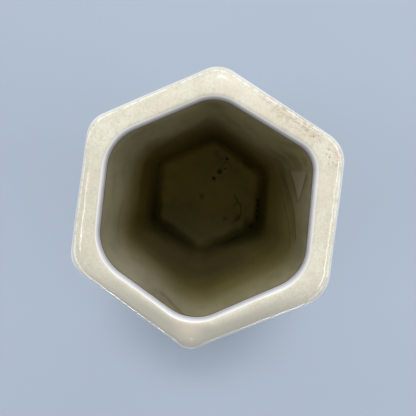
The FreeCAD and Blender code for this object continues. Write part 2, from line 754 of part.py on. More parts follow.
# ---------------------------------------------------------------------------------------------
# The whole barrel
# ---------------------------------------------------------------------------------------------
build_liner()
build_jacket()
build_seam_strap()
build_seam_rivets()
build_base_cap()
build_cap_rivets()
build_rim_gasket()
build_base_pad()
for pad_number in range(1, SIDES + 1):
    build_side_pad(pad_number)
build_feet()
RINGS = (("lower", "sizes.low_ring", "+"), ("upper", "sizes.high_ring", "-"))
for ring_name, ring_height, clip_way in RINGS:
    build_ring(f"{ring_name}_ring", ring_height)
    build_tyre(f"{ring_name}_tyre", ring_height)
    build_clips(f"{ring_name}_ring_clips", ring_height, clip_way)
    build_clip_rivets(ring_name, ring_height, clip_way)
build_thrust_disc()
build_thrust_fasteners()
doc.recompute()

for item in doc.Objects:
    if "Invalid" in item.State or "Error" in item.State:
        raise RuntimeError(f"{item.Name} is in state {item.State}")
for body in bodies:
    if body.Shape.isNull() or not body.Shape.isValid():
        raise RuntimeError(f"{body.Label} has no valid shape")

os.makedirs("parts", exist_ok=True)
for body in bodies:
    body.Shape.exportStep(f"parts/{body.Label}.step")
    print(body.Label, len(body.Shape.Solids), round(body.Shape.Volume, 1))
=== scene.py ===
"""Looks of a jacketed hexagonal rock tumbler barrel, standing mouth up with its lid off.

Metres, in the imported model's own frame: +Z up the barrel's axis, flats facing +X and every 60
degrees from it. The glazed liner and the tyres are modelled here in full detail and stand for
their plain CAD solids. Every other part keeps its CAD shape and gets a material, and the turned
rings get softened edges. The camera looks down into the barrel's mouth.
"""

import json
import math

import bpy
from mathutils import Matrix, Vector, noise


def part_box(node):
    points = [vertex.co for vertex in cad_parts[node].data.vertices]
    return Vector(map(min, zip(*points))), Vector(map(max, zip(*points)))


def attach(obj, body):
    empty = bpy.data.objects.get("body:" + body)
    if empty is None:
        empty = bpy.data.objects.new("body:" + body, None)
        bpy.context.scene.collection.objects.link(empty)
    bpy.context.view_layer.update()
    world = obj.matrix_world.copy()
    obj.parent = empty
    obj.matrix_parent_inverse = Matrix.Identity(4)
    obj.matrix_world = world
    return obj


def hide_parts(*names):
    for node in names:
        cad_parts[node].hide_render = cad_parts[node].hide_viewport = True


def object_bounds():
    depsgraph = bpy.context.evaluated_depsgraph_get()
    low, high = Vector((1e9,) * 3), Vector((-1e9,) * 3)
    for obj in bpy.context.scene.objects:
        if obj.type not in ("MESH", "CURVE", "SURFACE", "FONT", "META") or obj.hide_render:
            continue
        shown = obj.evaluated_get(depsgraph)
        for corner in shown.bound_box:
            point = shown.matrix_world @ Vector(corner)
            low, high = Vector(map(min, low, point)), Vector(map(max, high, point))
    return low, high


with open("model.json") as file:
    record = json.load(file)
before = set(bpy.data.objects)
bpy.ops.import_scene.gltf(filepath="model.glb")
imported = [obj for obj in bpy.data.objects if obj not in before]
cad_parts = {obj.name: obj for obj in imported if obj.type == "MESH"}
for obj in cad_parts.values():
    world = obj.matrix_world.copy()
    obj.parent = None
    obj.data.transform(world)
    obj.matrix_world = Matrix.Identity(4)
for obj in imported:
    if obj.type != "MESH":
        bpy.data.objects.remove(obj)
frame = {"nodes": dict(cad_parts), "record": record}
cad_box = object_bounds()

MM = 0.001
SIDES = 6
JACKET_BODY = "jacket_assembly"
LINER_BODY = "liner_pot"

LINER_LOW, LINER_HIGH = (Vector(corner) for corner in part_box("liner"))
RIM_TOP = LINER_HIGH.z
LINER_FOOT = LINER_LOW.z
CAVITY_FLOOR = LINER_FOOT + 13 * MM
FLANGE_FOOT = RIM_TOP - 14 * MM

# Outlines of the slip-cast liner, a little uneven from side to side. An outline is the half
# widths to the flats that face 0, 60 ... 300 degrees, the radius of the corner after each flat,
# and how far each flat is turned from its heading, in degrees.
EVEN = (0.0,) * SIDES
RIM_OUTLINE = (
    tuple(MM * flat for flat in (77.5, 75.8, 75.4, 76.6, 75.9, 75.7)),
    tuple(MM * corner for corner in (19, 17, 16, 14, 10, 22)),
    (1.0, 3.5, -1.2, -2.9, -0.4, -1.5),
)
MOUTH_OUTLINE = (
    tuple(MM * flat for flat in (60.9, 60.3, 59.5, 61.4, 61.0, 59.1)),
    tuple(MM * corner for corner in (18, 23, 27, 29, 27, 26)),
    (2.9, 5.5, -1.3, -1.1, 0.1, 0.6),
)
FLOOR_OUTLINE = (
    tuple(MM * flat for flat in (55.5, 56.0, 57.5, 58.5, 55.5, 50.5)),
    (14 * MM,) * SIDES,
    EVEN,
)
NECK_OUTLINE = ((69.5 * MM,) * SIDES, (15 * MM,) * SIDES, EVEN)
FOOT_OUTLINE = ((40 * MM,) * SIDES, (40 * MM,) * SIDES, EVEN)
LIP_ROUND = 3.2 * MM
CROWN_FALL = 7 * MM
CROWN_FLATNESS = 2.6
UNDER_ROUND = 2 * MM
FLOOR_ROUND = 13 * MM
HEEL_ROUND = 6 * MM
FOOT_RECESS_DEPTH = 2.5 * MM

# How finely the liner is divided.
CORNER_STEPS = 18
FLAT_STEPS = 22
FLOOR_STEPS = 24
WALL_STEPS = 90
NECK_STEPS = 40


# ---------------------------------------------------------------------------------------------
# Mesh helpers
# ---------------------------------------------------------------------------------------------
def smooth_object(name, vertices, faces):
    """A smooth-shaded mesh object in the scene."""
    mesh = bpy.data.meshes.new(name)
    mesh.from_pydata([tuple(v) for v in vertices], [], faces)
    mesh.validate()
    mesh.polygons.foreach_set("use_smooth", [True] * len(mesh.polygons))
    piece = bpy.data.objects.new(name, mesh)
    bpy.context.scene.collection.objects.link(piece)
    return piece


def heading(degrees):
    """The level unit vector at an angle from +X, anticlockwise from above."""
    angle = math.radians(degrees)
    return Vector((math.cos(angle), math.sin(angle), 0))


def blend_value(low, high, share):
    return low + (high - low) * share


def hexagon_ring(outline, height):
    """Points round a round-cornered hexagon, evenly spaced along each flat and each corner."""
    flats, corners, turns = outline
    faced = [60 * side + turns[side % SIDES] for side in range(SIDES + 1)]
    centres = []
    for side in range(SIDES):
        first, second = heading(faced[side]), heading(faced[side + 1])
        reach_one = flats[side] - corners[side]
        reach_two = flats[(side + 1) % SIDES] - corners[side]
        cross = first.x * second.y - first.y * second.x
        x = (reach_one * second.y - reach_two * first.y) / cross
        y = (reach_two * first.x - reach_one * second.x) / cross
        centres.append(Vector((x, y, height)))
    ring = []
    for side in range(SIDES):
        normal = heading(faced[side])
        start = centres[side - 1] + normal * corners[side - 1]
        end = centres[side] + normal * corners[side]
        for step in range(FLAT_STEPS):
            ring.append(start.lerp(end, step / FLAT_STEPS))
        for step in range(CORNER_STEPS):
            turn = heading(blend_value(faced[side], faced[side + 1], step / CORNER_STEPS))
            ring.append(centres[side] + turn * corners[side])
    return ring


def circle_ring(radius, height, steps):
    return [heading(360 * step / steps) * radius + Vector((0, 0, height)) for step in range(steps)]


def bridge(rings, looped=False):
    """Vertices and quads that join equal rings in order, closed by fans or back to the first."""
    count = len(rings[0])
    vertices = [point for ring in rings for point in ring]
    faces = []
    for level in range(len(rings) if looped else len(rings) - 1):
        low = level * count
        high = (level + 1) % len(rings) * count
        for step in range(count):
            after = (step + 1) % count
            faces.append((low + step, low + after, high + after, high + step))
    if not looped:
        for first, flip in ((0, True), ((len(rings) - 1) * count, False)):
            middle = sum(vertices[first : first + count], Vector()) / count
            vertices.append(middle)
            hub = len(vertices) - 1
            for step in range(count):
                pair = (first + step, first + (step + 1) % count)
                faces.append((hub, *reversed(pair)) if flip else (hub, *pair))
    return vertices, faces


def quarter(start, end, steps):
    """(cosine, sine) of evenly spaced angles in degrees, both ends included."""
    angles = [math.radians(start + (end - start) * step / steps) for step in range(steps + 1)]
    return [(math.cos(angle), math.sin(angle)) for angle in angles]


def blend_outline(low, high, share):
    return tuple(
        tuple(blend_value(a, b, share) for a, b in zip(low_part, high_part))
        for low_part, high_part in zip(low, high)
    )


def grown(outline, outward):
    """An outline moved outward by a distance, or inward if it is below 0."""
    flats, corners, turns = outline
    sharpest = 1 * MM
    return (
        tuple(flat + outward for flat in flats),
        tuple(max(corner + outward, sharpest) for corner in corners),
        turns,
    )


# ---------------------------------------------------------------------------------------------
# Glazed liner
# ---------------------------------------------------------------------------------------------
def cavity_stations():
    """(outline, height) of every ring from the middle of the cavity floor up to the lip."""
    nothing = (EVEN, EVEN, EVEN)
    flat_floor = grown(FLOOR_OUTLINE, -FLOOR_ROUND)
    stations = []
    for step in range(1, FLOOR_STEPS):
        stations.append((blend_outline(nothing, flat_floor, step / FLOOR_STEPS), CAVITY_FLOOR))
    for cosine, sine in quarter(-90, 0, 9):
        outline = grown(FLOOR_OUTLINE, FLOOR_ROUND * (cosine - 1))
        stations.append((outline, CAVITY_FLOOR + FLOOR_ROUND * (1 + sine)))
    wall_foot = CAVITY_FLOOR + FLOOR_ROUND
    lip_foot = RIM_TOP - LIP_ROUND
    for step in range(1, WALL_STEPS):
        share = step / WALL_STEPS
        outline = blend_outline(FLOOR_OUTLINE, MOUTH_OUTLINE, share)
        stations.append((outline, blend_value(wall_foot, lip_foot, share)))
    return stations


def rim_stations():
    """(outline, height) of every ring over the lip and the crown to the foot of the flange."""
    stations = []
    for cosine, sine in quarter(180, 90, 10):
        outline = grown(MOUTH_OUTLINE, LIP_ROUND * (1 + cosine))
        stations.append((outline, RIM_TOP - LIP_ROUND * (1 - sine)))
    crown_start = stations[-1][0]
    for cosine, sine in quarter(90, 0, 30)[1:]:
        outward, upward = (abs(part) ** (2 / CROWN_FLATNESS) for part in (cosine, sine))
        outline = blend_outline(crown_start, RIM_OUTLINE, outward)
        stations.append((outline, RIM_TOP - CROWN_FALL * (1 - upward)))
    stations.append((RIM_OUTLINE, FLANGE_FOOT + UNDER_ROUND + 2 * MM))
    for cosine, sine in quarter(0, -90, 5):
        outline = grown(RIM_OUTLINE, UNDER_ROUND * (cosine - 1))
        stations.append((outline, FLANGE_FOOT + UNDER_ROUND * (1 + sine)))
    return stations


def neck_stations():
    """(outline, height) of every ring from under the flange to the recess in the foot."""
    stations = [(grown(NECK_OUTLINE, 1 * MM), FLANGE_FOOT), (NECK_OUTLINE, FLANGE_FOOT - 1 * MM)]
    heel_top = LINER_FOOT + HEEL_ROUND
    for step in range(1, NECK_STEPS):
        height = blend_value(FLANGE_FOOT - 1 * MM, heel_top, step / NECK_STEPS)
        stations.append((NECK_OUTLINE, height))
    for cosine, sine in quarter(0, -90, 6):
        outline = grown(NECK_OUTLINE, HEEL_ROUND * (cosine - 1))
        stations.append((outline, LINER_FOOT + HEEL_ROUND * (1 + sine)))
    stations.append((grown(FOOT_OUTLINE, 4 * MM), LINER_FOOT))
    stations.append((FOOT_OUTLINE, LINER_FOOT))
    recess = LINER_FOOT + FOOT_RECESS_DEPTH
    stations.append((grown(FOOT_OUTLINE, -1 * MM), recess))
    stations.append((grown(FOOT_OUTLINE, -32 * MM), recess))
    return stations


def hand_made(point):
    """Unevenness of a slip-cast and dipped pot: the shift of a point on its free surfaces.

    The vectors added to the point only pick separate parts of the noise.
    """
    outward = Vector((point.x, point.y, 0))
    outward.normalize()
    slow = noise.noise(point * 18 + Vector((3.1, 7.7, 1.3)))
    runs = noise.noise(Vector((point.x * 60, point.y * 60, point.z * 8)))
    depth = min(max((RIM_TOP - point.z) / (30 * MM), 0), 1)
    shift = outward * (slow * 0.4 + runs * 0.45 * depth) * MM
    if point.z > RIM_TOP - 9 * MM:
        shift.z = -abs(noise.noise(point * 26 + Vector((9, 2, 5)))) * 0.5 * MM
    if point.z < CAVITY_FLOOR + 6 * MM:
        shift.z = noise.noise(point * 60) * 0.5 * MM
    return shift


def build_liner():
    """The liner, with its first material slot for glaze and its second for stained glaze."""
    cavity = [hexagon_ring(outline, height) for outline, height in cavity_stations()]
    rim = [hexagon_ring(outline, height) for outline, height in rim_stations()]
    hidden = [hexagon_ring(outline, height) for outline, height in neck_stations()]
    free = [[point + hand_made(point) for point in ring] for ring in cavity + rim]
    vertices, faces = bridge(free + hidden)
    liner = smooth_object("glazed_liner", vertices, [tuple(reversed(face)) for face in faces])
    cavity_points = len(cavity) * len(cavity[0])
    stain_top = RIM_TOP - LIP_ROUND - 3 * MM
    for face in liner.data.polygons:
        if min(face.vertices) < cavity_points and face.center.z < stain_top:
            face.material_index = 1
    return liner


# ---------------------------------------------------------------------------------------------
# Tyres
# ---------------------------------------------------------------------------------------------
TYRE_SEAT = 86 * MM
TREAD_RADIUS = 90 * MM
TREAD_HALF = 3 * MM
TYRE_HALF = 5.5 * MM
GROOVE_DEPTH = 0.6 * MM
# Across a groove: the share of its depth at each height.
GROOVE_EDGES = ((0, 0.85 * MM), (1, 1.0 * MM), (1, 1.7 * MM), (0, 1.85 * MM))
BEAD = 0.3 * MM
GRIP_BARS = 90
GRIP_STEPS = 8
GRIP_DEPTH = 0.45 * MM
GRIP_START = 2.2 * MM
GRIP_RAMP = 0.6 * MM
TYRES = {"ribbed_lower_tyre": "lower_tyre", "ribbed_upper_tyre": "upper_tyre"}


def tyre_profile():
    """(radius, height from the middle) round a tyre's section, with two grooves in its tread."""
    shoulder = TYRE_HALF - TREAD_HALF
    upper = [(TREAD_RADIUS - GROOVE_DEPTH * cut, height) for cut, height in GROOVE_EDGES]
    for cosine, sine in quarter(90, 0, 7):
        radius = TREAD_RADIUS - shoulder * (1 - sine)
        upper.append((radius, TREAD_HALF + shoulder * cosine))
    upper.append((TYRE_SEAT + BEAD, TYRE_HALF))
    upper.append((TYRE_SEAT, TYRE_HALF - BEAD))
    lower = [(radius, -height) for radius, height in reversed(upper)]
    return lower + upper


def grip(turn, height):
    """Depth of the moulded cuts across a tyre's shoulders at a step round it."""
    across = min(max((abs(height) - GRIP_START) / GRIP_RAMP, 0), 1)
    wave = 0.5 - 0.5 * math.cos(2 * math.pi * turn / GRIP_STEPS)
    return GRIP_DEPTH * across * wave**4


def build_tyre(name, node):
    """A tyre in place of a CAD tyre node."""
    low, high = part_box(node)
    middle = (low.z + high.z) / 2
    rings = []
    for radius, height in tyre_profile():
        ring = circle_ring(radius, middle + height, GRIP_BARS * GRIP_STEPS)
        if radius > TYRE_SEAT + 1 * MM:
            ring = [
                point - point.xy.normalized().to_3d() * grip(step % GRIP_STEPS, height)
                for step, point in enumerate(ring)
            ]
        rings.append(ring)
    vertices, faces = bridge(rings, looped=True)
    tyre = smooth_object(name, vertices, faces)
    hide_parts(node)
    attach(tyre, JACKET_BODY)
    return tyre


# ---------------------------------------------------------------------------------------------
# Material helpers
# ---------------------------------------------------------------------------------------------
class Paint:
    """A material's node tree, with short calls for the nodes that it is made of."""

    def __init__(self, name):
        self.material = bpy.data.materials.new(name)
        self.material.use_nodes = True
        self.tree = self.material.node_tree
        self.shader = self.tree.nodes["Principled BSDF"]
        self.place = self.node("ShaderNodeTexCoord").outputs["Object"]

    def node(self, kind, **settings):
        made = self.tree.nodes.new(kind)
        for key, value in settings.items():
            setattr(made, key, value)
        return made

    def feed(self, socket, value):
        """Link value to a socket if it is an output, or else set it there."""
        if isinstance(value, bpy.types.NodeSocket):
            self.tree.links.new(value, socket)
        else:
            socket.default_value = value

    def math(self, operation, first, second=0.0, clamp=False):
        made = self.node("ShaderNodeMath", operation=operation, use_clamp=clamp)
        self.feed(made.inputs[0], first)
        self.feed(made.inputs[1], second)
        return made.outputs[0]

    def times(self, first, *others):
        for other in others:
            first = self.math("MULTIPLY", first, other)
        return first

    def vector(self, operation, first, second=(0, 0, 0), output=0):
        made = self.node("ShaderNodeVectorMath", operation=operation)
        self.feed(made.inputs[0], first)
        self.feed(made.inputs[1], second)
        return made.outputs[output]

    def noise(self, size, detail=4.0, roughness=0.55, stretch=(1, 1, 1), shift=(0, 0, 0)):
        """Noise from 0 to 1 whose features are about size metres across."""
        made = self.node("ShaderNodeTexNoise")
        place = self.vector("MULTIPLY", self.vector("ADD", self.place, shift), stretch)
        self.feed(made.inputs["Vector"], place)
        made.inputs["Scale"].default_value = 1 / size
        made.inputs["Detail"].default_value = detail
        made.inputs["Roughness"].default_value = roughness
        return made.outputs["Fac"]

    def swing(self, level, reach):
        """A level from 0 to 1, as of noise, turned into an offset from -reach/2 to reach/2."""
        return self.times(self.math("SUBTRACT", level, 0.5), reach)

    def dots(self, size, radius, share, shift=(0, 0, 0)):
        """1 in small dots, one for some cells of a grid of that size, and 0 elsewhere."""
        made = self.node("ShaderNodeTexVoronoi")
        self.feed(made.inputs["Vector"], self.vector("ADD", self.place, shift))
        made.inputs["Scale"].default_value = 1 / size
        near = self.step(made.outputs["Distance"], radius / size, radius / size * 0.6)
        split = self.node("ShaderNodeSeparateColor")
        self.feed(split.inputs[0], made.outputs["Color"])
        return self.times(near, self.math("LESS_THAN", split.outputs[0], share))

    def step(self, value, start, end):
        """Smooth 0 to 1 as value goes from start to end; end may be the lower."""
        made = self.node("ShaderNodeMapRange", interpolation_type="SMOOTHSTEP")
        self.feed(made.inputs["Value"], value)
        made.inputs["From Min"].default_value = start
        made.inputs["From Max"].default_value = end
        return made.outputs["Result"]

    def band(self, value, start, full, fade, end):
        """Smooth 0 at start, 1 from full to fade, and 0 again from end."""
        return self.times(self.step(value, start, full), self.step(value, end, fade))

    def mix(self, share, first, second):
        """Colour that goes from first to second."""
        made = self.node("ShaderNodeMix", data_type="RGBA")
        self.feed(made.inputs[0], share)
        self.feed(made.inputs[6], first)
        self.feed(made.inputs[7], second)
        return made.outputs[2]

    def blend(self, share, first, second):
        """Number that goes from first to second."""
        made = self.node("ShaderNodeMix")
        for socket, value in zip(made.inputs[0:1] + made.inputs[2:4], (share, first, second)):
            self.feed(socket, value)
        return made.outputs[0]

    def ramp(self, value, stops):
        """Colour from a list of (value from 0 to 1, colour)."""
        made = self.node("ShaderNodeValToRGB")
        elements = made.color_ramp.elements
        for element, (position, color) in zip(elements, (stops[0], stops[-1])):
            element.position = position
            element.color = color
        for position, color in stops[1:-1]:
            elements.new(position).color = color
        self.feed(made.inputs[0], value)
        return made.outputs[0]

    def coordinates(self):
        made = self.node("ShaderNodeSeparateXYZ")
        self.feed(made.inputs[0], self.place)
        return made.outputs

    def along(self, direction, offset=None):
        """How far the point, or else an offset, reaches in a direction."""
        start = self.place if offset is None else offset
        return self.vector("DOT_PRODUCT", start, tuple(direction), output=1)

    def toward(self, degrees, start, end):
        """Smooth 0 to 1 as the point goes from start to end, in metres, towards a heading."""
        return self.step(self.along(heading(degrees)), start, end)

    def hexagonal_reach(self):
        """Half the width across flats of the upright hexagon through a point."""
        return self.greatest(
            [self.math("ABSOLUTE", self.along(heading(turn))) for turn in (0, 60, 120)]
        )

    def distance(self, spot):
        """Distance from a spot given in millimetres."""
        offset = self.vector("SUBTRACT", self.place, tuple(value * MM for value in spot))
        return self.vector("LENGTH", offset, output=1)

    def near(self, mark):
        """1 in the middle of a mark, (x, y, z, radius) in millimetres, and 0 from its edge."""
        *spot, radius = mark
        return self.step(self.distance(spot), radius * MM, radius * 0.15 * MM)

    def spots(self, marks):
        return self.greatest([self.near(mark) for mark in marks])

    def blots(self, marks, ragged):
        """1 in the marks, whose outlines wander by a distance in metres."""
        shares = []
        for *spot, radius in marks:
            away = self.math("ADD", self.distance(spot), ragged)
            shares.append(self.step(away, radius * MM, radius * 0.3 * MM))
        return self.greatest(shares)

    def stroke(self, start, end, width):
        """1 on a straight stroke between two places, 0 beyond half its width, in millimetres."""
        start, end = Vector(start) * MM, Vector(end) * MM
        along = end - start
        from_start = self.vector("SUBTRACT", self.place, tuple(start))
        reached = self.along(along / along.length_squared, from_start)
        reached = self.math("MINIMUM", self.math("MAXIMUM", reached, 0.0), 1.0)
        carried = self.node("ShaderNodeVectorMath", operation="SCALE")
        carried.inputs[0].default_value = along
        self.feed(carried.inputs["Scale"], reached)
        gap = self.vector("SUBTRACT", from_start, carried.outputs[0])
        return self.step(self.vector("LENGTH", gap, output=1), width / 2 * MM, width / 6 * MM)

    def line(self, places, width):
        """1 on a line through several places."""
        return self.greatest([self.stroke(*pair, width) for pair in zip(places, places[1:])])

    def lines(self, drawn):
        """1 on any of several (places, width)."""
        return self.greatest([self.line(places, width) for places, width in drawn])

    def panel(self, side, corners, edge):
        """1 in a patch of the wall towards a heading, 0 beyond a soft edge.

        Corners are (along the wall, height) in millimetres, in order anticlockwise.
        """
        inside = self.toward(side, 30 * MM, 40 * MM)
        across, upward = heading(side + 90), Vector((0, 0, 1))
        for first, second in zip(corners, corners[1:] + corners[:1]):
            run, rise = second[0] - first[0], second[1] - first[1]
            inward = (upward * run - across * rise).normalized()
            start = (across * first[0] + upward * first[1]) * MM
            within = self.along(inward, self.vector("SUBTRACT", self.place, tuple(start)))
            inside = self.times(inside, self.step(within, -edge * MM, edge * MM))
        return inside

    def greatest(self, shares):
        most = shares[0]
        for share in shares[1:]:
            most = self.math("MAXIMUM", most, share)
        return most

    def bump(self, height, depth, below=None):
        made = self.node("ShaderNodeBump")
        made.inputs["Distance"].default_value = depth
        self.feed(made.inputs["Height"], height)
        if below is not None:
            self.feed(made.inputs["Normal"], below)
        return made.outputs["Normal"]

    def finish(self, color, roughness, normal=None, **fixed):
        """The material. Fixed values go straight on the shader's sockets of those names."""
        self.feed(self.shader.inputs["Base Color"], color)
        self.feed(self.shader.inputs["Roughness"], roughness)
        if normal is not None:
            self.feed(self.shader.inputs["Normal"], normal)
        for key, value in fixed.items():
            self.shader.inputs[key.replace("_", " ")].default_value = value
        return self.material


def rgb(red, green, blue):
    return (red, green, blue, 1.0)


# ---------------------------------------------------------------------------------------------
# Glaze
# ---------------------------------------------------------------------------------------------
STAINED_SPECULAR = 0.07
# Which way the cavity's painted shade reaches higher up the wall: towards -Y.
LOW_SIDE_DARKENING_TILT = (0.15, -0.7, 0)

# Marks are (x, y, z, radius), and lines are places and a width, all in millimetres. The middle
# of the cavity floor is 22 high.
DARK_SPECKS = (
    (7.7, 30.2, 22, 4.2),
    (13.3, 34.2, 22, 2.6),
    (2.0, 21.6, 22, 3.4),
    (14.3, 45.5, 22, 3.2),
    (53.7, 2.2, 28.4, 3.6),
    (54.1, -2.3, 29.1, 4.2),
    (54.3, -8.4, 29.5, 3.2),
    (54.7, -15.6, 30.4, 4.2),
    (50.3, -27.3, 28.4, 4.4),
    (54.8, -27.7, 53.6, 3.0),
    (31.4, -40.6, 41.8, 6.6),
    (28.0, -42.6, 43.0, 4.4),
    (-58.6, 30.5, 43.5, 3.6),
    (-44.3, -39.2, 52.8, 4.2),
)
FAINT_SPECKS = (
    (-9.7, -0.4, 22, 4.0),
    (19.9, -22.4, 22, 3.8),
    (35.8, 42.6, 29.5, 8.0),
    (40.5, 39.8, 29.5, 6.0),
    (21.4, -46.6, 46.5, 6.0),
    (33.6, -20.0, 22, 5.0),
    (46.0, -24.0, 24, 9.0),
)
SMUDGES = (
    (44.0, -28.0, 24.0, 9),
    (-56.6, -31.7, 40.4, 12),
    (-57.0, 31.0, 44.0, 10),
    (5.0, 46.0, 26.0, 12),
)
DAMP_PATCHES = (
    (56.5, 42.0, 172, 15),
    (53.0, 46.0, 152, 15),
    (56.5, 35.0, 130, 14),
    (59.5, 38.0, 190, 8),
)
HAZE = (-38, -50, 195, 60)
LOOP = ((8, 32, 22), (8.5, 37, 22), (12, 41, 22), (17, 41.5, 22), (20, 37, 22), (18.5, 32, 22))
CRACK = ((27.8, 5, 22), (30.5, 1, 22), (32.5, -2.5, 22), (35, -3, 22), (36.5, -8, 22))
CRACK_BRANCH = ((32.5, -2.5, 22), (29, -4.5, 22), (28, -6, 22))
CRACK_END = ((37, -10, 22), (36.8, -17.0, 22), (34, -22, 22), (28.6, -25.4, 22))
LONG_RUN = (
    (57.1, 28.4, 125.8),
    (57.8, 20.7, 141.8),
    (58.7, 11.2, 158.8),
    (59.5, 1.4, 170.2),
    (60.1, -6.7, 175.7),
    (60.5, -13.7, 178.8),
)
CURTAIN = (
    (-23.0, -57.5, 190.5),
    (-18.6, -60.0, 191.5),
    (-15.0, -62.0, 194.0),
    (-11.0, -64.3, 197.5),
    (-7.5, -66.2, 200.5),
)
SCRATCH = ((-45.7, -41.1, 138.3), (-38.7, -45.2, 140.8), (-32.0, -49.2, 142.1))
BROAD_LINES = (
    (CURTAIN, 6.0),
    (((57.1, 32, 118), (58.5, 12, 150), (59.5, 1, 165), (60.2, -14, 176)), 11.0),
)
FAINT_LINES = (
    (LOOP, 2.2),
    (((59.1, 27.2, 190), (59.4, 10.7, 179)), 3.0),
    (((57.6, 32.8, 146.5), (59.3, 10.4, 175)), 3.0),
    (((58.9, 20, 120), (59.5, -6, 158), (60, -22, 168)), 3.0),
)
SHARP_LINES = (
    (LONG_RUN, 3.0),
    (SCRATCH, 2.6),
    (CRACK, 3.2),
    (CRACK_BRANCH, 2.6),
    (CRACK_END, 2.6),
)

# Patches of the cavity wall, as a heading and corners (along the wall, height).
TEAR_SIDE = 0
TEAR = ((31.2, 151.0), (30.0, 188.5), (11.7, 179.0))
LENS_SIDE = 240
LENS = (
    (1.3, 191.8),
    (4.0, 187.6),
    (7.5, 185.9),
    (12.6, 187.0),
    (17.5, 190.0),
    (21.8, 193.5),
    (26.3, 198.0),
    (30.0, 208.0),
    (0.0, 208.0),
)

# Marks and raised ridges of the rim.
WORN_PLACES = (
    (30, 67, 204, 9),
    (36, 62, 206, 12),
    (43, 59, 206, 13),
    (50, 54, 205, 11),
    (56, 50, 205, 8),
)
BROWN_CORNER = (71.2, 41.8, 204, 5.5)
GRITTY_PLACES = ((66.5, 41, 205, 7), (70, 36, 204, 8))
PINK_PLACES = ((4.6, 70.3, 206, 9), (-2, -69, 206, 12))
RIM_CHIPS = ((-66.1, -41.7, 204, 1.1), (62.5, 22, 205, 0.7))
RIDGES = (
    (((-72.6, -17, 204), (-72.9, -9.5, 204)), 1.3),
    (((-72.3, -30, 204), (-72.5, -22, 204)), 0.9),
    (((71.4, -4, 205), (71.0, 9, 205)), 1.1),
    (((70.8, 13, 205), (71.2, 24, 205)), 1.2),
    (((71.2, 28, 205), (70.6, 33, 205)), 1.0),
)


